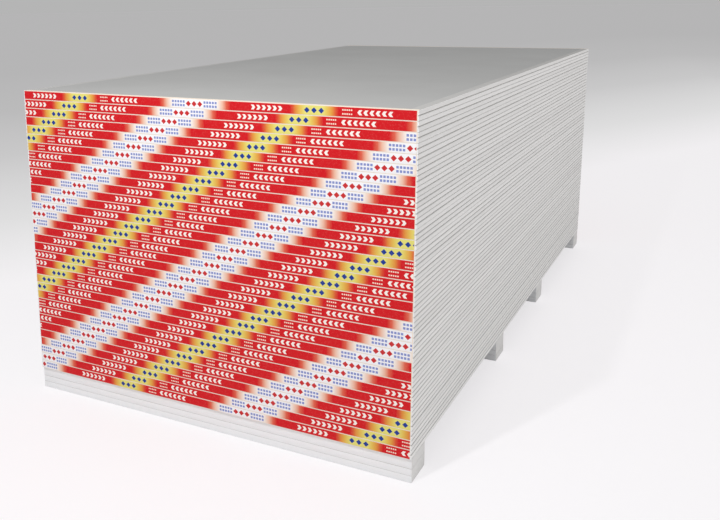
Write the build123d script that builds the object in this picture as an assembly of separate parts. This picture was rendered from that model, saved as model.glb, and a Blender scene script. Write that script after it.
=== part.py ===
from build123d import *
import os

# A lift of half-inch drywall sheets, taped in pairs face to face, on four three-ply risers.
# X runs across the sheets, Y along them with the front end at -Y, and Z is up from the floor.

# Sheet: back paper flat, face sloping down to both long edges for the joint filler
sheet_width = 1219.2
sheet_length = 2438.4
sheet_thickness = 12.7
taper_width = 60.0
taper_depth = 1.2
face_edge_radius = 2.0
back_edge_ease = 1.5

# Stack: the air left between the two faces of a pair, and between one pair and the next
pair_count = 34
face_gap = 0.1
pair_gap = 0.05

# End tape: one folded strip of paper over each end of a pair, lapped onto both backs
tape_thickness = 0.15
tape_lap = 16.0
tape_side_margin = 2.0

# Riser: two like strips with a thicker one on top, lying across the sheets, with their long edges eased
riser_strip_thickness = 19.05
riser_top_thickness = 28.5
riser_strip_depth = 100.0
riser_strip_ease = 0.8
riser_end_setback = 6.0
inner_riser_spacing = 640.0

half_width = sheet_width / 2
half_length = sheet_length / 2
edge_height = sheet_thickness - taper_depth
taper_start = half_width - taper_width
riser_middle_z = riser_strip_thickness
riser_top_z = riser_middle_z + riser_strip_thickness
riser_height = riser_top_z + riser_top_thickness
pair_height = 2 * sheet_thickness + face_gap + 2 * tape_thickness
pair_pitch = pair_height + pair_gap
tape_length = sheet_width - 2 * tape_side_margin
lower_sheet_z = riser_height + tape_thickness
upper_sheet_z = lower_sheet_z + sheet_thickness + face_gap
outer_riser_y = half_length - riser_end_setback - riser_strip_depth / 2
inner_riser_y = inner_riser_spacing / 2
riser_places = [-outer_riser_y, -inner_riser_y, inner_riser_y, outer_riser_y]


# One sheet lying face up, its back on the ground plane
def tapered_sheet():
    with BuildPart() as sheet:
        with BuildSketch(Plane.XZ) as section:
            with BuildLine():
                Polyline(
                    (-half_width, 0),
                    (half_width, 0),
                    (half_width, edge_height),
                    (taper_start, sheet_thickness),
                    (-taper_start, sheet_thickness),
                    (-half_width, edge_height),
                    close=True,
                )
            make_face()
            edge_corners = section.vertices().group_by(Axis.X)
            left_corners = edge_corners[0].sort_by(Axis.Y)
            right_corners = edge_corners[-1].sort_by(Axis.Y)
            chamfer([left_corners[0], right_corners[0]], back_edge_ease)
            left_face = section.vertices().group_by(Axis.X)[0].sort_by(Axis.Y)[-1]
            right_face = section.vertices().group_by(Axis.X)[-1].sort_by(Axis.Y)[-1]
            fillet([left_face, right_face], face_edge_radius)
        extrude(amount=half_length, both=True)
    return sheet.part.solid()


# One end tape: a web over the end of the pair and a lap on each back
def folded_tape():
    web_out = -half_length - tape_thickness
    lap_end = -half_length + tape_lap
    with BuildPart() as tape:
        with BuildSketch(Plane.YZ):
            with BuildLine():
                Polyline(
                    (web_out, 0),
                    (lap_end, 0),
                    (lap_end, tape_thickness),
                    (-half_length, tape_thickness),
                    (-half_length, pair_height - tape_thickness),
                    (lap_end, pair_height - tape_thickness),
                    (lap_end, pair_height),
                    (web_out, pair_height),
                    close=True,
                )
            make_face()
        extrude(amount=tape_length / 2, both=True)
    return tape.part.solid()


# One riser strip across the full width of the sheets
def riser_strip(thickness):
    with BuildPart() as strip:
        Box(
            sheet_width,
            riser_strip_depth,
            thickness,
            align=(Align.CENTER, Align.CENTER, Align.MIN),
        )
        chamfer(strip.edges().filter_by(Axis.X), riser_strip_ease)
    return strip.part.solid()


def save(name, solids):
    export_step(Compound(children=solids), "parts/" + name + ".step")


os.makedirs("parts", exist_ok=True)

sheet = tapered_sheet()
turned_sheet = Rot(0, 180, 0) * sheet
front_tape = folded_tape()
back_tape = Rot(0, 0, 180) * front_tape
strip = riser_strip(riser_strip_thickness)
top_strip = riser_strip(riser_top_thickness)

face_up = []
face_down = []
front_tapes = []
back_tapes = []
for pair in range(pair_count):
    pair_z = pair * pair_pitch
    face_up.append(Pos(0, 0, lower_sheet_z + pair_z) * sheet)
    face_down.append(Pos(0, 0, upper_sheet_z + sheet_thickness + pair_z) * turned_sheet)
    front_tapes.append(Pos(0, 0, riser_height + pair_z) * front_tape)
    back_tapes.append(Pos(0, 0, riser_height + pair_z) * back_tape)

save("face_up_sheets", face_up)
save("face_down_sheets", face_down)
save("front_end_tapes", front_tapes)
save("back_end_tapes", back_tapes)

save("riser_strips_bottom", [Pos(0, place, 0) * strip for place in riser_places])
save("riser_strips_middle", [Pos(0, place, riser_middle_z) * strip for place in riser_places])
save("riser_strips_top", [Pos(0, place, riser_top_z) * top_strip for place in riser_places])
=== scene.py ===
import bpy
import bmesh
import math
import random
from mathutils import Matrix, Vector, noise


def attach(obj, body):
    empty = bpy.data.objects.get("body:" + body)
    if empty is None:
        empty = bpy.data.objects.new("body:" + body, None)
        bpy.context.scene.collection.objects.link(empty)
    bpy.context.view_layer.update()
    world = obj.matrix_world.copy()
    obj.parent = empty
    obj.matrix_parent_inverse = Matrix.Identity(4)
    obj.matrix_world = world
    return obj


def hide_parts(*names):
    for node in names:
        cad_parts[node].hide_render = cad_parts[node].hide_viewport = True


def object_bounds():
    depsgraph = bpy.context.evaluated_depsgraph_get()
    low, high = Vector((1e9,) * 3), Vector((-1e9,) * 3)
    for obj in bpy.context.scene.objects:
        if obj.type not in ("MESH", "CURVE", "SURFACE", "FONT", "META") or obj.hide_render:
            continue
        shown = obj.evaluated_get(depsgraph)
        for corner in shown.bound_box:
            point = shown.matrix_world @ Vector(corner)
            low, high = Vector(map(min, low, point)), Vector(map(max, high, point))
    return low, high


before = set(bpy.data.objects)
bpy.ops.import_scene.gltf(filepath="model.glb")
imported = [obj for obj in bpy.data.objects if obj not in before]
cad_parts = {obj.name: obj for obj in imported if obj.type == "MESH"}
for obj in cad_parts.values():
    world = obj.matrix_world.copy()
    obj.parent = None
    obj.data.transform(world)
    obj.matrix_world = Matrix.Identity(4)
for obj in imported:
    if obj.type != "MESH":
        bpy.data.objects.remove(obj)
cadLow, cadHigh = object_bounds()
scene = bpy.context.scene
scene.view_settings.view_transform = "Standard"
print("frame loaded")

# what every piece of the stack shares, in metres
stack = {
    "pairs": 34,
    "sheetWidth": 1.2192,
    "sheetLength": 2.4384,
    "sheetThickness": 0.0127,
    "faceGap": 0.0001,
    "tapeThickness": 0.00015,
    "tapeMargin": 0.002,  # bare paper left at each side of a tape
    "pairPitch": 0.02585,
    "riserHeight": 0.0666,
    "slip": 0.0004,  # how far a pair was pushed out of line
    "seed": 41,
}
dice = random.Random(stack["seed"])
pairSlips = [dice.uniform(-1, 1) * stack["slip"] for pair in range(stack["pairs"])]
halfWidth = stack["sheetWidth"] / 2
halfLength = stack["sheetLength"] / 2
closeTo = 1e-5  # metres, for finding edges by where they lie
sharpFrom = 35  # degrees: an edge that turns more stays crisp
roundProfile = 0.5  # a bevel with this profile is a quarter circle


def linear(hexColour):  # a written sRGB colour as the shader's own
    parts = [int(hexColour[i:i + 2], 16) / 255 for i in (1, 3, 5)]
    return [c / 12.92 if c <= 0.04045 else ((c + 0.055) / 1.055) ** 2.4 for c in parts] + [1.0]


def perMetre(sizeMm):  # a texture's scale, from the size of its pattern
    return 1000 / sizeMm


# numbered sockets: Mix has its share at 0 and its colours at 6 and 7, Map Range maps 1 to 2 onto 3 to 4
def addNode(tree, kind, links=None, **settings):
    node = tree.nodes.new(kind)
    for name, value in settings.items():
        setattr(node, name, value)
    for socket, value in (links or {}).items():
        if isinstance(value, bpy.types.NodeSocket):
            tree.links.new(value, node.inputs[socket])
        else:
            node.inputs[socket].default_value = value
    return node


def newMaterial(name):
    material = bpy.data.materials.new(name)
    material.use_nodes = True
    material.node_tree.nodes.clear()
    return material, material.node_tree


def setRamp(ramp, stops):
    while len(ramp.elements) < len(stops):
        ramp.elements.new(0.5)
    for element, (place, colour) in zip(ramp.elements, stops):
        element.position = place
        element.color = linear(colour)


def plainBox(width, length, height):  # standing on the ground plane
    bm = bmesh.new()
    bmesh.ops.create_cube(bm, size=1.0)
    bmesh.ops.scale(bm, vec=(width, length, height), verts=bm.verts)
    bmesh.ops.translate(bm, vec=(0, 0, height / 2), verts=bm.verts)
    return bm


def cutAcross(bm, places, way):  # new lines over the mesh at these places along the way
    for place in places:
        everything = bm.verts[:] + bm.edges[:] + bm.faces[:]
        bmesh.ops.bisect_plane(bm, geom=everything, plane_co=Vector(way) * place, plane_no=way)


def evenRuns(half, runs):
    return [-half + run * 2 * half / runs for run in range(1, runs)]


def roundEdges(bm, edges, radius, segments):
    bmesh.ops.bevel(
        bm, geom=edges, offset=radius, offset_type="OFFSET", affect="EDGES",
        segments=segments, profile=roundProfile, material=-1,
    )


def keepMesh(bm, name):
    mesh = bpy.data.meshes.new(name)
    bm.to_mesh(mesh)
    bm.free()
    return mesh


def finishPiece(bm, name, materials):
    mesh = keepMesh(bm, name)
    for face in mesh.polygons:
        face.use_smooth = True
    mesh.set_sharp_from_angle(angle=math.radians(sharpFrom))
    piece = bpy.data.objects.new(name, mesh)
    scene.collection.objects.link(piece)
    for material in materials:
        mesh.materials.append(material)
    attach(piece, "root")
    return piece


# grey recycled liner: matt, short fibres lying every way, faint cloudy patches from the wet felt
liner = {
    "sheet": "#B8B8B7",
    "dark": "#ADADAC",
    "fleck": "#8E8D8A",
    "cloudMm": 260,
    "cloudDetail": 3.0,
    "fibreMm": 2.2,
    "fibreDetail": 4.0,
    "fibreHarsh": 0.7,
    "fleckFrom": 0.58,
    "fleckFull": 0.75,
    "fleckMost": 0.35,
    "smooth": 0.72,
    "rough": 0.9,
    "bump": 0.15,
    "bumpDepth": 0.0004,
    "gloss": 0.3,
}
greyLiner, tree = newMaterial("recycled grey liner paper")
place = addNode(tree, "ShaderNodeTexCoord").outputs["Object"]
clouds = addNode(tree, "ShaderNodeTexNoise", {
    "Vector": place,
    "Scale": perMetre(liner["cloudMm"]),
    "Detail": liner["cloudDetail"],
}).outputs["Fac"]
fibres = addNode(tree, "ShaderNodeTexNoise", {
    "Vector": place,
    "Scale": perMetre(liner["fibreMm"]),
    "Detail": liner["fibreDetail"],
    "Roughness": liner["fibreHarsh"],
}).outputs["Fac"]
cloudTone = addNode(tree, "ShaderNodeMix", {
    0: clouds,
    6: linear(liner["dark"]),
    7: linear(liner["sheet"]),
}, data_type="RGBA").outputs[2]
fleck = addNode(tree, "ShaderNodeMapRange", {
    0: fibres,
    1: liner["fleckFrom"],
    2: liner["fleckFull"],
    4: liner["fleckMost"],
}).outputs[0]
tone = addNode(tree, "ShaderNodeMix", {
    0: fleck,
    6: cloudTone,
    7: linear(liner["fleck"]),
}, data_type="RGBA").outputs[2]
rough = addNode(tree, "ShaderNodeMapRange", {0: fibres, 3: liner["smooth"], 4: liner["rough"]}).outputs[0]
bump = addNode(tree, "ShaderNodeBump", {
    "Height": fibres,
    "Strength": liner["bump"],
    "Distance": liner["bumpDepth"],
}).outputs[0]
shader = addNode(tree, "ShaderNodeBsdfPrincipled", {
    "Base Color": tone,
    "Roughness": rough,
    "Normal": bump,
    "Specular IOR Level": liner["gloss"],
})
addNode(tree, "ShaderNodeOutputMaterial", {"Surface": shader.outputs[0]})

# pale face paper: smooth, folded round the long edges, each sheet a tone of its own, with painted shade
# mixed into the seams
face = {
    "pale": "#F3F2F0",
    "dull": "#E4E3E1",
    # painted shade for the seams between sheets, and a little dust on the riser ends
    "darkShadeAndDust": "#7E7D7B",
    "fibreMm": 1.5,
    "fibreDetail": 3.0,
    "streakMm": 90,
    "streakDetail": 4.0,
    "streakStretch": 0.15,
    "smooth": 0.6,
    "rough": 0.8,
    "bump": 0.1,
    "bumpDepth": 0.0002,
    "gloss": 0.35,
}
facePaper, tree = newMaterial("pale face paper")
place = addNode(tree, "ShaderNodeTexCoord").outputs["Object"]
shade = addNode(tree, "ShaderNodeAttribute", attribute_name="shade").outputs["Fac"]
along = addNode(tree, "ShaderNodeMapping", {0: place, 3: (1.0, face["streakStretch"], 1.0)}).outputs[0]
streaks = addNode(tree, "ShaderNodeTexNoise", {
    "Vector": along,
    "Scale": perMetre(face["streakMm"]),
    "Detail": face["streakDetail"],
}).outputs["Fac"]
fibres = addNode(tree, "ShaderNodeTexNoise", {
    "Vector": place,
    "Scale": perMetre(face["fibreMm"]),
    "Detail": face["fibreDetail"],
}).outputs["Fac"]
worn = addNode(tree, "ShaderNodeMath", {0: streaks, 1: shade}, operation="MULTIPLY").outputs[0]
tone = addNode(tree, "ShaderNodeMix", {
    0: worn,
    6: linear(face["pale"]),
    7: linear(face["dull"]),
}, data_type="RGBA").outputs[2]
# painted shade: a dark grey mixed in where the attribute says, in the seams between sheets; the riser ends
# take a little of it as dust
dustAndShade = addNode(tree, "ShaderNodeAttribute", attribute_name="dustAndShade").outputs["Fac"]
tone = addNode(tree, "ShaderNodeMix", {
    0: dustAndShade,
    6: tone,
    7: linear(face["darkShadeAndDust"]),
}, data_type="RGBA").outputs[2]
rough = addNode(tree, "ShaderNodeMapRange", {0: fibres, 3: face["smooth"], 4: face["rough"]}).outputs[0]
bump = addNode(tree, "ShaderNodeBump", {
    "Height": fibres,
    "Strength": face["bump"],
    "Distance": face["bumpDepth"],
}).outputs[0]
shader = addNode(tree, "ShaderNodeBsdfPrincipled", {
    "Base Color": tone,
    "Roughness": rough,
    "Normal": bump,
    "Specular IOR Level": face["gloss"],
})
addNode(tree, "ShaderNodeOutputMaterial", {"Surface": shader.outputs[0]})

# the face paper's lap under the back liner: the grey lets some of the pale paper through
lap = {
    "light": "#C6C5C3",
    "dull": "#B7B6B4",
    "cloudMm": 60,
    "cloudDetail": 5.0,
    "smooth": 0.65,
    "rough": 0.85,
    "gloss": 0.3,
}
foldedLap, tree = newMaterial("folded paper lap")
place = addNode(tree, "ShaderNodeTexCoord").outputs["Object"]
clouds = addNode(tree, "ShaderNodeTexNoise", {
    "Vector": place,
    "Scale": perMetre(lap["cloudMm"]),
    "Detail": lap["cloudDetail"],
}).outputs["Fac"]
tone = addNode(tree, "ShaderNodeMix", {
    0: clouds,
    6: linear(lap["light"]),
    7: linear(lap["dull"]),
}, data_type="RGBA").outputs[2]
rough = addNode(tree, "ShaderNodeMapRange", {0: clouds, 3: lap["smooth"], 4: lap["rough"]}).outputs[0]
shader = addNode(tree, "ShaderNodeBsdfPrincipled", {
    "Base Color": tone,
    "Roughness": rough,
    "Specular IOR Level": lap["gloss"],
})
addNode(tree, "ShaderNodeOutputMaterial", {"Surface": shader.outputs[0]})

# set gypsum: chalky white, with fine air pores where it was sawn
gypsum = {
    "chalk": "#F3F4F5",
    "pore": "#CECFD0",
    "poreMm": 2.5,  # drawn coarser than the real pores, to show
    "cloudMm": 40,
    "cloudDetail": 4.0,
    "poreFull": 0.1,
    "poreGone": 0.3,
    "poreMost": 0.6,
    "rough": 0.9,
    "bump": 0.3,
    "bumpDepth": 0.0005,
    "gloss": 0.2,
}
gypsumCore, tree = newMaterial("sawn gypsum")
place = addNode(tree, "ShaderNodeTexCoord").outputs["Object"]
pores = addNode(tree, "ShaderNodeTexVoronoi", {
    "Vector": place,
    "Scale": perMetre(gypsum["poreMm"]),
}).outputs["Distance"]
clouds = addNode(tree, "ShaderNodeTexNoise", {
    "Vector": place,
    "Scale": perMetre(gypsum["cloudMm"]),
    "Detail": gypsum["cloudDetail"],
}).outputs["Fac"]
hole = addNode(tree, "ShaderNodeMapRange", {
    0: pores,
    1: gypsum["poreFull"],
    2: gypsum["poreGone"],
    3: gypsum["poreMost"],
    4: 0.0,
}).outputs[0]
spread = addNode(tree, "ShaderNodeMath", {0: hole, 1: clouds}, operation="MULTIPLY").outputs[0]
tone = addNode(tree, "ShaderNodeMix", {
    0: spread,
    6: linear(gypsum["chalk"]),
    7: linear(gypsum["pore"]),
}, data_type="RGBA").outputs[2]
bump = addNode(tree, "ShaderNodeBump", {
    "Height": hole,
    "Strength": gypsum["bump"],
    "Distance": gypsum["bumpDepth"],
}, invert=True).outputs[0]
shader = addNode(tree, "ShaderNodeBsdfPrincipled", {
    "Base Color": tone,
    "Roughness": gypsum["rough"],
    "Normal": bump,
    "Specular IOR Level": gypsum["gloss"],
})
addNode(tree, "ShaderNodeOutputMaterial", {"Surface": shader.outputs[0]})
print("papers and gypsum mixed")

# printed paper tape: red ground fading into white and amber fields, small plain marks, pale bare edges
tapePrint = {
    "period": 0.74,  # metres of tape before the print repeats
    "stepPerPair": -0.041,  # how far the print has moved along from one pair to the next
    "backStart": 0.37,  # where the print starts at the back end
    "halfPrint": 0.0116,  # bare paper past this, up to the folds
    "bareEnd": 0.0026,  # unprinted at one cut end
    "inkEdge": 0.0003,
    "red": "#D4101B",
    "paper": "#F3E5D4",
    "grainMm": 3.0,
    "grainDetail": 4.0,
    "thinFrom": 0.5,
    "thinFull": 0.8,
    "thinMost": 0.06,
    "smooth": 0.48,
    "rough": 0.68,
    "gloss": 0.2,
    "split": 0.27,  # white field before this, amber field after it
    "rowPitch": 0.0098,
}
printFields = [  # middle of each field, how far it stays plain and fades, and its colours on the way out
    {"centre": 0.12, "core": 0.062, "fade": 0.050, "stops": [
        (0.0, "#F7F6F8"), (0.22, "#F6ECE4"), (0.5, "#EFBFA6"), (0.74, "#E0654C"), (1.0, tapePrint["red"])]},
    {"centre": 0.47, "core": 0.024, "fade": 0.042, "stops": [
        (0.0, "#E6DE7A"), (0.3, "#E6C158"), (0.58, "#E3963F"), (0.8, "#DB5531"), (1.0, tapePrint["red"])]},
]
printMarks = [  # rows of small shapes: how many, how far apart, how large, leaning into chevrons or not
    {"centre": 0.340, "count": 6, "pitch": 0.0155, "wide": 0.0080, "rows": 1, "tall": 0.0125,
     "lean": 0.75, "diamond": False, "colour": "#FBF1EA"},
    {"centre": 0.627, "count": 6, "pitch": 0.0155, "wide": 0.0080, "rows": 1, "tall": 0.0125,
     "lean": -0.75, "diamond": False, "colour": "#FBF1EA"},
    {"centre": 0.558, "count": 5, "pitch": 0.0056, "wide": 0.0038, "rows": 2, "tall": 0.0036,
     "lean": 0.0, "diamond": False, "colour": "#F7E3D2"},
    {"centre": 0.470, "count": 3, "pitch": 0.0195, "wide": 0.0155, "rows": 1, "tall": 0.0150,
     "lean": 0.0, "diamond": True, "colour": "#123A96"},
    {"centre": 0.120, "count": 3, "pitch": 0.0180, "wide": 0.0160, "rows": 1, "tall": 0.0155,
     "lean": 0.0, "diamond": True, "colour": "#CB2A2E"},
    {"centre": 0.070, "count": 5, "pitch": 0.0086, "wide": 0.0062, "rows": 2, "tall": 0.0062,
     "lean": 0.0, "diamond": False, "colour": "#8492CC"},
    {"centre": 0.170, "count": 5, "pitch": 0.0086, "wide": 0.0062, "rows": 2, "tall": 0.0062,
     "lean": 0.0, "diamond": False, "colour": "#8492CC"},
]
printedTape, tree = newMaterial("printed paper tape")
place = addNode(tree, "ShaderNodeTexCoord").outputs["Object"]
flatTape = addNode(tree, "ShaderNodeUVMap", uv_map="print").outputs[0]
unrolled = addNode(tree, "ShaderNodeSeparateXYZ", {0: flatTape})
across = addNode(tree, "ShaderNodeMath", {0: unrolled.outputs["Y"]}, operation="ABSOLUTE").outputs[0]
repeat = addNode(tree, "ShaderNodeMath", {
    0: unrolled.outputs["X"],
    1: tapePrint["period"],
}, operation="FLOORED_MODULO").outputs[0]
fieldColours = []
for field in printFields:
    away = addNode(tree, "ShaderNodeMath", {0: repeat, 1: field["centre"]}, operation="SUBTRACT").outputs[0]
    away = addNode(tree, "ShaderNodeMath", {0: away}, operation="ABSOLUTE").outputs[0]
    fade = addNode(tree, "ShaderNodeMapRange", {
        0: away,
        1: field["core"],
        2: field["core"] + field["fade"],
    }).outputs[0]
    ramp = addNode(tree, "ShaderNodeValToRGB", {0: fade})
    setRamp(ramp.color_ramp, field["stops"])
    fieldColours.append(ramp.outputs[0])
later = addNode(tree, "ShaderNodeMath", {
    0: repeat,
    1: tapePrint["split"],
}, operation="GREATER_THAN").outputs[0]
ink = addNode(tree, "ShaderNodeMix", {
    0: later,
    6: fieldColours[0],
    7: fieldColours[1],
}, data_type="RGBA").outputs[2]
for mark in printMarks:
    halfPitch = mark["pitch"] / 2
    evenCount = 1 - mark["count"] % 2  # an even count has a gap in the middle
    rowMiddle = (mark["rows"] - 1) * tapePrint["rowPitch"] / 2
    about = addNode(tree, "ShaderNodeMath", {0: repeat, 1: mark["centre"]}, operation="SUBTRACT").outputs[0]
    about = addNode(tree, "ShaderNodeMath", {
        0: across,
        1: mark["lean"],
        2: about,
    }, operation="MULTIPLY_ADD").outputs[0]
    phase = addNode(tree, "ShaderNodeMath", {0: about, 1: evenCount * halfPitch}, operation="ADD").outputs[0]
    cell = addNode(tree, "ShaderNodeMath", {0: phase, 1: halfPitch}, operation="PINGPONG").outputs[0]
    row = addNode(tree, "ShaderNodeMath", {0: across, 1: rowMiddle}, operation="SUBTRACT").outputs[0]
    row = addNode(tree, "ShaderNodeMath", {0: row}, operation="ABSOLUTE").outputs[0]
    cell = addNode(tree, "ShaderNodeMath", {0: cell, 1: 2 / mark["wide"]}, operation="MULTIPLY").outputs[0]
    row = addNode(tree, "ShaderNodeMath", {0: row, 1: 2 / mark["tall"]}, operation="MULTIPLY").outputs[0]
    corner = "ADD" if mark["diamond"] else "MAXIMUM"
    shape = addNode(tree, "ShaderNodeMath", {0: cell, 1: row}, operation=corner).outputs[0]
    inside = addNode(tree, "ShaderNodeMath", {0: shape, 1: 1.0}, operation="LESS_THAN").outputs[0]
    near = addNode(tree, "ShaderNodeMath", {
        0: about,
        1: 0.0,
        2: mark["count"] * halfPitch,
    }, operation="COMPARE").outputs[0]
    shown = addNode(tree, "ShaderNodeMath", {0: inside, 1: near}, operation="MULTIPLY").outputs[0]
    ink = addNode(tree, "ShaderNodeMix", {
        0: shown,
        6: ink,
        7: linear(mark["colour"]),
    }, data_type="RGBA").outputs[2]
bare = addNode(tree, "ShaderNodeMapRange", {
    0: across,
    1: tapePrint["halfPrint"],
    2: tapePrint["halfPrint"] + tapePrint["inkEdge"],
}).outputs[0]
side = addNode(tree, "ShaderNodeSeparateXYZ", {0: place}).outputs["X"]
cutEnd = halfWidth - stack["tapeMargin"] - tapePrint["bareEnd"]
ended = addNode(tree, "ShaderNodeMapRange", {
    0: side,
    1: cutEnd,
    2: cutEnd + tapePrint["inkEdge"],
}).outputs[0]
bare = addNode(tree, "ShaderNodeMath", {0: bare, 1: ended}, operation="MAXIMUM").outputs[0]
tone = addNode(tree, "ShaderNodeMix", {
    0: bare,
    6: ink,
    7: linear(tapePrint["paper"]),
}, data_type="RGBA").outputs[2]
grain = addNode(tree, "ShaderNodeTexNoise", {
    "Vector": place,
    "Scale": perMetre(tapePrint["grainMm"]),
    "Detail": tapePrint["grainDetail"],
}).outputs["Fac"]
thin = addNode(tree, "ShaderNodeMapRange", {
    0: grain,
    1: tapePrint["thinFrom"],
    2: tapePrint["thinFull"],
    4: tapePrint["thinMost"],
}).outputs[0]
tone = addNode(tree, "ShaderNodeMix", {
    0: thin,
    6: tone,
    7: linear(tapePrint["paper"]),
}, data_type="RGBA").outputs[2]
rough = addNode(tree, "ShaderNodeMapRange", {
    0: grain,
    3: tapePrint["smooth"],
    4: tapePrint["rough"],
}).outputs[0]
shader = addNode(tree, "ShaderNodeBsdfPrincipled", {
    "Base Color": tone,
    "Roughness": rough,
    "Specular IOR Level": tapePrint["gloss"],
})
addNode(tree, "ShaderNodeOutputMaterial", {"Surface": shader.outputs[0]})
print("tape printed")

# one sheet lying face up, copied for the whole stack
sheet = {
    "taperWidth": 0.060,
    "taperDepth": 0.0008,
    "faceRound": 0.0020,
    "faceSegments": 4,
    "backRound": 0.0015,
    "backSegments": 3,
    "lapWidth": 0.025,
    "seamShade": 0.62,  # painted shade mixed into the seam between two pairs
    "grooveShade": 0.42,  # and into the groove between the two faces of a pair
    "footShade": 1.6,  # times as much painted shade near the floor, darker towards the bottom
    "topShade": 0.55,  # and near the top
    "runs": 24,  # lengths that a long edge can wander between
    "wander": 0.00016,
    "wanderEvery": 0.16,
    "wanderFrom": 0.030,  # in from the edge
    "sideSeed": 7.3,  # so that each side of each sheet wanders its own way
    "heightSeed": 900,
    "squareOn": 0.9,  # how squarely a face looks out to count as an end or a back
    "sheetSlip": 0.0002,
    "edgeReach": 0.0025,  # how far in a long edge counts as edge
    "edgeRows": 2,  # a sheet's two long edges on the flat map
    "edgeMap": 0.85,  # share of the flat map that they get
    "edgeFill": 0.84,  # how much of its row an edge fills
    "boxFill": 0.8,
}
sheetMaterials = [greyLiner, facePaper, foldedLap, gypsumCore]
linerSlot, paperSlot, lapSlot, gypsumSlot = range(len(sheetMaterials))
taperStart = halfWidth - sheet["taperWidth"]
lapStart = halfWidth - sheet["lapWidth"]
midSheet = stack["sheetThickness"] / 2
edgeWrap = (stack["sheetThickness"] + 2 * sheet["faceRound"]) / sheet["edgeFill"]
bm = plainBox(stack["sheetWidth"], stack["sheetLength"], stack["sheetThickness"])
cutAcross(bm, (-taperStart, taperStart, -lapStart, lapStart), (1, 0, 0))
for v in bm.verts:  # the face slopes down to the long edges
    if v.co.z > midSheet:
        v.co.z -= sheet["taperDepth"] * max(0, abs(v.co.x) - taperStart) / sheet["taperWidth"]
outer = [e for e in bm.edges if all(abs(v.co.x) > halfWidth - closeTo for v in e.verts)]
faceRims = [e for e in outer if all(v.co.z > midSheet for v in e.verts)]
roundEdges(bm, faceRims, sheet["faceRound"], sheet["faceSegments"])
outer = [e for e in bm.edges if all(abs(v.co.x) > halfWidth - closeTo for v in e.verts)]
backRims = [e for e in outer if all(v.co.z < closeTo for v in e.verts)]
roundEdges(bm, backRims, sheet["backRound"], sheet["backSegments"])
cutAcross(bm, evenRuns(halfLength, sheet["runs"]), (0, 1, 0))
bm.normal_update()
dustAndShade = bm.verts.layers.float.new("dustAndShade")
for v in bm.verts:  # painted shade on the rounded long edges: none on the flat of a long edge, most where it has turned over, none deep inside
    turn = sheet["backRound"] if v.co.z < midSheet else sheet["faceRound"]
    turned = min(1, max(0, (halfWidth - abs(v.co.x)) / turn))
    if abs(v.co.x) > halfWidth - sheet["edgeReach"]:
        v[dustAndShade] = math.sqrt(turned * (2 - turned))
flatMap = bm.loops.layers.uv.new("OFBake")  # edges unrolled in rows, hidden faces boxed by material
for f in bm.faces:
    middle = f.calc_center_median()
    if abs(f.normal.y) > sheet["squareOn"]:
        f.material_index = gypsumSlot
    elif f.normal.z < -sheet["squareOn"]:
        f.material_index = linerSlot if abs(middle.x) < lapStart else lapSlot
    else:
        f.material_index = paperSlot
    sawn = f.material_index == gypsumSlot
    onEdge = abs(middle.x) > halfWidth - sheet["edgeReach"] and not sawn
    for loop in f.loops:
        x, y, z = loop.vert.co
        up = z - midSheet
        lengthwise = up / stack["sheetThickness"] if sawn else y / stack["sheetLength"]
        if onEdge:
            unrolledUp = math.copysign(abs(up) + halfWidth - abs(x), up)
            loop[flatMap].uv = (0.5 + lengthwise, 0.5 + (middle.x > 0) + unrolledUp / edgeWrap)
        else:
            boxX = f.material_index + 0.5 + sheet["boxFill"] * lengthwise
            boxY = sheet["edgeRows"] + 0.5 + sheet["boxFill"] * x / stack["sheetWidth"]
            loop[flatMap].uv = (boxX / len(sheetMaterials), boxY)
oneSheet = keepMesh(bm, "oneSheet")


def layPile(name, places):
    bm = bmesh.new()
    shade = bm.verts.layers.float.new("shade")
    dustAndShade = bm.verts.layers.float.new("dustAndShade")
    flatMap = bm.loops.layers.uv.new("OFBake")
    edgeRows = sheet["edgeRows"]
    rowTall = sheet["edgeMap"] / (edgeRows * len(places))
    for count, (z, faceUp, slip) in enumerate(places):
        firstVert, firstFace = len(bm.verts), len(bm.faces)
        bm.from_mesh(oneSheet)
        bm.verts.ensure_lookup_table()
        bm.faces.ensure_lookup_table()
        laid = bm.verts[firstVert:]
        if not faceUp:
            bmesh.ops.rotate(bm, verts=laid, cent=(0, 0, 0), matrix=Matrix.Rotation(math.pi, 3, "Y"))
        rise = z if faceUp else z + stack["sheetThickness"]
        bmesh.ops.translate(bm, verts=laid, vec=(slip, 0, rise))
        tint = dice.random()
        # how much shade is painted into this sheet's upper edge: the seam above a face-down sheet, the
        # groove above a face-up one, more towards the floor
        shadeShare = sheet["grooveShade"] if faceUp else sheet["seamShade"]
        if len(places) == 1:  # nothing lies on the top sheet
            shadeShare = 0.0
        height = (z - stack["riserHeight"]) / (cadHigh[2] - stack["riserHeight"])
        shadeShare *= sheet["footShade"] + (sheet["topShade"] - sheet["footShade"]) * height
        for v in laid:
            v[shade] = tint
            # painted shade is kept on the sheet's upper rounded edge only
            v[dustAndShade] *= shadeShare if v.co.z > z + midSheet else 0.0
            if abs(v.co.x) > halfWidth - sheet["wanderFrom"]:  # the long edges wander a little
                side = math.copysign(sheet["sideSeed"], v.co.x)
                spot = (side, v.co.y / sheet["wanderEvery"], z * sheet["heightSeed"])
                v.co.x += sheet["wander"] * noise.noise(Vector(spot))
        for loop in (loop for f in bm.faces[firstFace:] for loop in f.loops):
            u, v = loop[flatMap].uv
            row = (edgeRows * count + v) * rowTall
            box = sheet["edgeMap"] + (v - edgeRows) * (1 - sheet["edgeMap"])
            loop[flatMap].uv = (u, row if v < edgeRows else box)
    if len(places) == 1:  # a sheet that shows its whole back keeps no rowed flat map
        bm.loops.layers.uv.remove(flatMap)
    return finishPiece(bm, name, sheetMaterials)


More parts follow.
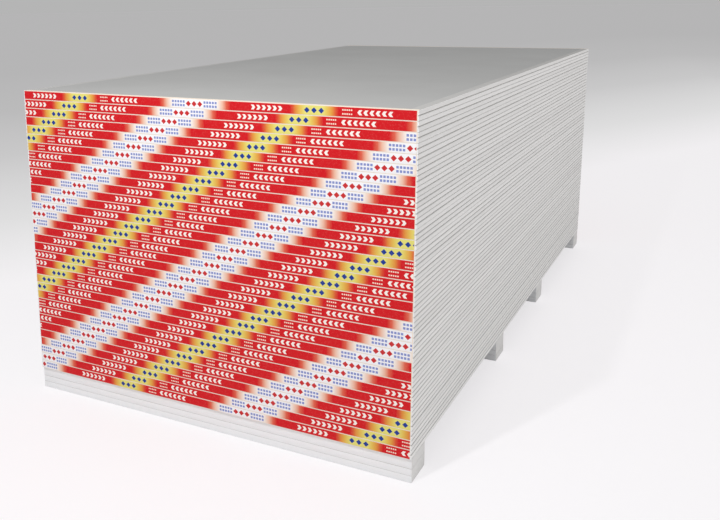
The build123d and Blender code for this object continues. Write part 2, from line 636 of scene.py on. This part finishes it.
lowerPlaces, upperPlaces = [], []
for pair in range(stack["pairs"]):
    lowZ = stack["riserHeight"] + stack["tapeThickness"] + pair * stack["pairPitch"]
    highZ = lowZ + stack["sheetThickness"] + stack["faceGap"]
    lowerPlaces.append((lowZ, True, pairSlips[pair] + dice.uniform(-1, 1) * sheet["sheetSlip"]))
    upperPlaces.append((highZ, False, pairSlips[pair] + dice.uniform(-1, 1) * sheet["sheetSlip"]))
lowerSheets = layPile("face_up_sheets.pile", lowerPlaces)
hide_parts("face_up_sheets")
upperSheets = layPile("face_down_sheets.pile", upperPlaces[:-1])
topSheet = layPile("face_down_sheets.top", upperPlaces[-1:])
for piece in (upperSheets, topSheet):
    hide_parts("face_down_sheets")
print("sheets laid", len(lowerPlaces) + len(upperPlaces))

# one folded tape, copied over both ends of every pair
tape = {
    "lap": 0.016,
    "foldRound": 0.0009,
    "foldSegments": 4,
    "webLines": (0.3, 0.5, 0.7),
    "runs": 40,
    "standOff": 0.00004,
    "ripple": 0.00016,
    "rippleEvery": 0.045,
    "rippleTall": 0.020,
    "rippleDeep": 0.001,  # the ripple dies out this far round the folds
    "pairSeed": 3.7,  # so that each tape ripples its own way
    "backSeed": 50,
    "endCut": 0.0016,  # how unevenly the tape was torn off
    "mapRows": 5,  # the outside is cut into this many rows on the flat map
    "mapWide": 0.98,
    "mapTall": 0.94,
}
pairHeight = 2 * stack["sheetThickness"] + stack["faceGap"] + 2 * stack["tapeThickness"]
tapeHalf = halfWidth - stack["tapeMargin"]
tapeWrap = pairHeight + 2 * tape["lap"]
webY = -halfLength - stack["tapeThickness"] - tape["standOff"]
lapY = -halfLength + tape["lap"]
bm = bmesh.new()
profile = ((lapY, 0), (webY, 0), (webY, pairHeight), (lapY, pairHeight))
corners = [bm.verts.new((-tapeHalf, y, z)) for y, z in profile]
edges = [bm.edges.new((a, b)) for a, b in zip(corners, corners[1:])]
swept = bmesh.ops.extrude_edge_only(bm, edges=edges)
moved = [v for v in swept["geom"] if isinstance(v, bmesh.types.BMVert)]
bmesh.ops.translate(bm, vec=(2 * tapeHalf, 0, 0), verts=moved)
webEdges = [e for e in bm.edges if all(abs(v.co.y - webY) < closeTo for v in e.verts)]
folds = [e for e in webEdges if abs(e.verts[0].co.z - e.verts[1].co.z) < closeTo]
roundEdges(bm, folds, tape["foldRound"], tape["foldSegments"])
cutAcross(bm, [share * pairHeight for share in tape["webLines"]], (0, 0, 1))
cutAcross(bm, evenRuns(tapeHalf, tape["runs"]), (1, 0, 0))
bmesh.ops.recalc_face_normals(bm, faces=bm.faces)
if sum(f.normal.y * f.calc_area() for f in bm.faces) > 0:
    bmesh.ops.reverse_faces(bm, faces=bm.faces)
bmesh.ops.solidify(bm, geom=bm.faces[:], thickness=stack["tapeThickness"])
oneTape = keepMesh(bm, "oneTape")


def wrapTape(name, node, pair, atBack):
    bm = bmesh.new()
    bm.from_mesh(oneTape)
    unroll = bm.loops.layers.uv.new("print")
    flatMap = bm.loops.layers.uv.new("OFBake")  # the outside in rows, the hidden inside in one more
    start = pair * tapePrint["stepPerPair"] + (tapePrint["backStart"] if atBack else 0.0)
    for f in bm.faces:
        middle = f.calc_center_median()
        inward = Vector((middle.x, lapY, pairHeight / 2))
        outside = f.normal.dot(middle - inward) > stack["tapeThickness"]
        row = int((middle.x / tapeHalf + 1) / 2 * tape["mapRows"]) if outside else tape["mapRows"]
        for loop in f.loops:
            point = loop.vert.co
            up = point.z - pairHeight / 2
            over = math.copysign(abs(up) + point.y - webY, up)
            loop[unroll].uv = (point.x + start, over)
            share = (point.x / tapeHalf + 1) / 2
            mapX = share * tape["mapRows"] - row if outside else share
            mapY = row + 0.5 + tape["mapTall"] * over / tapeWrap
            loop[flatMap].uv = (0.5 + tape["mapWide"] * (mapX - 0.5), mapY / (tape["mapRows"] + 1))
    cuts = [dice.uniform(-1, 0) * tape["endCut"] for side in (0, 1)]
    rippleSeed = pair * tape["pairSeed"] + (tape["backSeed"] if atBack else 0)
    for v in bm.verts:
        reach = v.co.x / tapeHalf
        v.co.x += cuts[0] * reach if reach > 0 else cuts[1] * reach
        web = max(0, 1 - abs(v.co.y - webY) / tape["rippleDeep"])
        spot = (v.co.x / tape["rippleEvery"], v.co.z / tape["rippleTall"], rippleSeed)
        v.co.y -= web * tape["ripple"] * max(0, noise.noise(Vector(spot)))
    rise = stack["riserHeight"] + pair * stack["pairPitch"]
    bmesh.ops.translate(bm, verts=bm.verts, vec=(pairSlips[pair], 0, rise))
    if atBack:
        turn = Matrix.Rotation(math.pi, 3, "Z")
        bmesh.ops.rotate(bm, verts=bm.verts, cent=(pairSlips[pair], 0, 0), matrix=turn)
    piece = finishPiece(bm, "%s.%02d" % (name, pair + 1), [printedTape])
    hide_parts(node)


for pair in range(stack["pairs"]):
    wrapTape("front_tape", "front_end_tapes", pair, False)
    wrapTape("back_tape", "back_end_tapes", pair, True)
print("tapes wrapped", 2 * stack["pairs"])

# riser strips: sawn gypsum with paper left on top and underneath, and folded round the two ends
riser = {
    "plies": [  # thickness of each strip, from the floor up
        ("riser_strips_bottom", 0.01905),
        ("riser_strips_middle", 0.01905),
        ("riser_strips_top", 0.0285),
    ],
    "depth": 0.100,
    "ease": 0.00045,
    "easeSegments": 2,
    "places": (-1.1632, -0.320, 0.320, 1.1632),
    "askew": 0.0009,
    "runs": 16,
    "chip": 0.0005,
    "chipEvery": 0.07,
    "chipReach": 0.002,  # only this near the long edges
    "placeSeed": 9,  # so that each edge of each strip chips its own way
    "edgeSeed": 40,
    "plySeed": 5.1,
    "paperFrom": 0.3,  # how far a face may lean to the sawn sides and still have its paper
    "endShade": 1.0,  # the ends are as dull as a sheet's edge gets
    "endDust": 0.12,  # and a little dusty
}
riserMaterials = [gypsumCore, foldedLap, facePaper]
sawnSlot, skinSlot, endSlot = range(len(riserMaterials))
plyZ = 0.0
for ply, (node, thickness) in enumerate(riser["plies"]):
    bm = plainBox(stack["sheetWidth"], riser["depth"], thickness)
    roundEdges(bm, bm.edges[:], riser["ease"], riser["easeSegments"])
    cutAcross(bm, evenRuns(halfWidth, riser["runs"]), (1, 0, 0))
    oneStrip = keepMesh(bm, "oneStrip")
    bm = bmesh.new()
    shade = bm.verts.layers.float.new("shade")
    dustAndShade = bm.verts.layers.float.new("dustAndShade")
    for y in riser["places"]:
        first = len(bm.verts)
        bm.from_mesh(oneStrip)
        bm.verts.ensure_lookup_table()
        laid = bm.verts[first:]
        for v in laid:
            v[shade] = riser["endShade"]
            v[dustAndShade] = riser["endDust"]
            if abs(abs(v.co.y) - riser["depth"] / 2) < riser["chipReach"]:
                edge = y * riser["placeSeed"] + v.co.y * riser["edgeSeed"]
                spot = (v.co.x / riser["chipEvery"], edge, ply * riser["plySeed"])
                v.co.y += riser["chip"] * noise.noise(Vector(spot))
        slide = dice.uniform(-1, 0) * math.copysign(riser["askew"], y)
        push = dice.uniform(-1, 1) * riser["askew"]
        bmesh.ops.translate(bm, verts=laid, vec=(slide, y + push, plyZ))
    bm.normal_update()
    for f in bm.faces:
        if abs(f.normal.x) > riser["paperFrom"]:
            f.material_index = endSlot
        else:
            f.material_index = skinSlot if abs(f.normal.z) > riser["paperFrom"] else sawnSlot
    strips = finishPiece(bm, node + ".cut", riserMaterials)
    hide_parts(node)
    plyZ += thickness
print("risers set", len(riser["plies"]))

# floor, far tone and light
floorLook = {
    "radius": 90.0,
    "segments": 96,
    "drop": 0.0003,  # just under the risers
    "near": "#F9F7F9",
    "rough": 0.9,
    "gloss": 0.1,
    "greying": (-0.897, 0.444, 0.0),  # the way that the floor darkens
    "ringGain": 0.6,  # it also darkens outward, past this ring
    "ringStart": -2.4,
    "tones": [
        (0.05, "#FDFBFD"),
        (0.148, "#E4E4E4"),
        (0.322, "#C6C6C6"),
        (0.565, "#B2B2B2"),
        (1.0, "#AAAAAA"),
    ],
    "fromM": 0.5,
    "toM": 12.0,
    "ownGlow": 0.66,
    "glowPower": 1.04,
}
bm = bmesh.new()
bmesh.ops.create_circle(bm, cap_ends=True, radius=floorLook["radius"], segments=floorLook["segments"])
bmesh.ops.translate(bm, vec=(0, 0, -floorLook["drop"]), verts=bm.verts)
floorMesh = keepMesh(bm, "floor")
floor = bpy.data.objects.new("floor", floorMesh)
scene.collection.objects.link(floor)
paleFloor, tree = newMaterial("pale studio floor")
place = addNode(tree, "ShaderNodeTexCoord").outputs["Object"]
leftward = addNode(tree, "ShaderNodeVectorMath", {
    0: place,
    1: floorLook["greying"],
}, operation="DOT_PRODUCT").outputs["Value"]
away = addNode(tree, "ShaderNodeVectorMath", {0: place}, operation="LENGTH").outputs["Value"]
outward = addNode(tree, "ShaderNodeMath", {
    0: away,
    1: floorLook["ringGain"],
    2: floorLook["ringStart"],
}, operation="MULTIPLY_ADD").outputs[0]
reach = addNode(tree, "ShaderNodeMath", {0: leftward, 1: outward}, operation="MAXIMUM").outputs[0]
far = addNode(tree, "ShaderNodeMapRange", {0: reach, 1: floorLook["fromM"], 2: floorLook["toM"]}).outputs[0]
tone = addNode(tree, "ShaderNodeValToRGB", {0: far})
setRamp(tone.color_ramp, floorLook["tones"])
shader = addNode(tree, "ShaderNodeBsdfPrincipled", {
    "Base Color": linear(floorLook["near"]),
    "Roughness": floorLook["rough"],
    "Specular IOR Level": floorLook["gloss"],
})
seen = addNode(tree, "ShaderNodeLightPath")
direct = addNode(tree, "ShaderNodeMath", {
    0: seen.outputs["Is Camera Ray"],
    1: floorLook["ownGlow"],
}, operation="MULTIPLY").outputs[0]
flat = addNode(tree, "ShaderNodeEmission", {0: tone.outputs[0], 1: floorLook["glowPower"]})
either = addNode(tree, "ShaderNodeMixShader", {0: direct, 1: shader.outputs[0], 2: flat.outputs[0]})
addNode(tree, "ShaderNodeOutputMaterial", {"Surface": either.outputs[0]})
floorMesh.materials.append(paleFloor)

light = {
    "sky": 0.59,
    "skyTone": "#FFFFFF",
    "farTone": "#B5B5B5",
    "farPower": 1.0,
    "lamps": {
        "key": {"watts": 24, "place": (0.086, -2.535, 2.36), "size": 0.08, "aim": (0.0, -0.9, 0.7)},
        "fill": {"watts": 34, "place": (5.5, 0.0, 1.8), "size": 2.5, "aim": (0.6, 0.0, 0.4)},
    },
}
world = bpy.data.worlds.new("studio")
scene.world = world
world.use_nodes = True
tree = world.node_tree
tree.nodes.clear()
seen = addNode(tree, "ShaderNodeLightPath")
glow = addNode(tree, "ShaderNodeBackground", {0: linear(light["skyTone"]), 1: light["sky"]})
backdrop = addNode(tree, "ShaderNodeBackground", {0: linear(light["farTone"]), 1: light["farPower"]})
either = addNode(tree, "ShaderNodeMixShader", {
    0: seen.outputs["Is Camera Ray"],
    1: glow.outputs[0],
    2: backdrop.outputs[0],
})
addNode(tree, "ShaderNodeOutputWorld", {"Surface": either.outputs[0]})
for name, lamp in light["lamps"].items():
    glowing = bpy.data.lights.new(name, "AREA")
    glowing.energy = lamp["watts"]
    glowing.size = lamp["size"]
    holder = bpy.data.objects.new(name, glowing)
    scene.collection.objects.link(holder)
    holder.location = lamp["place"]
    toward = Vector(lamp["aim"]) - Vector(lamp["place"])
    holder.rotation_euler = toward.to_track_quat("-Z", "Y").to_euler()

# camera at the photo's angle
view = {
    "picture": (720, 520),
    "focal": 869.3,  # pixels
    "azimuth": 29.53,
    "elevation": 11.45,
    "roll": -0.94,
    "distance": 3.6782,
    "aim": (-0.5247, 0.0, 0.4754),
    "axisPixel": (252.0, 173.6),
    "sensor": 36.0,
    "farthest": 400,
}
turn, lift, roll = (math.radians(view[k]) for k in ("azimuth", "elevation", "roll"))
back = Vector((math.sin(turn) * math.cos(lift), -math.cos(turn) * math.cos(lift), math.sin(lift)))
level = Vector((math.cos(turn), math.sin(turn), 0))
upright = back.cross(level)
right = level * math.cos(roll) + upright * math.sin(roll)
up = upright * math.cos(roll) - level * math.sin(roll)
wide, tall = view["picture"]
lens = bpy.data.cameras.new("photoView")
lens.sensor_width = view["sensor"]
lens.lens = view["focal"] / wide * lens.sensor_width
lens.shift_x = (wide / 2 - view["axisPixel"][0]) / wide
lens.shift_y = (view["axisPixel"][1] - tall / 2) / wide
lens.clip_end = view["farthest"]
camera = bpy.data.objects.new("photoView", lens)
scene.collection.objects.link(camera)
axes = Matrix((right, up, back)).transposed().to_4x4()
camera.matrix_world = Matrix.Translation(Vector(view["aim"]) + back * view["distance"]) @ axes
scene.camera = camera
print("studio lit")
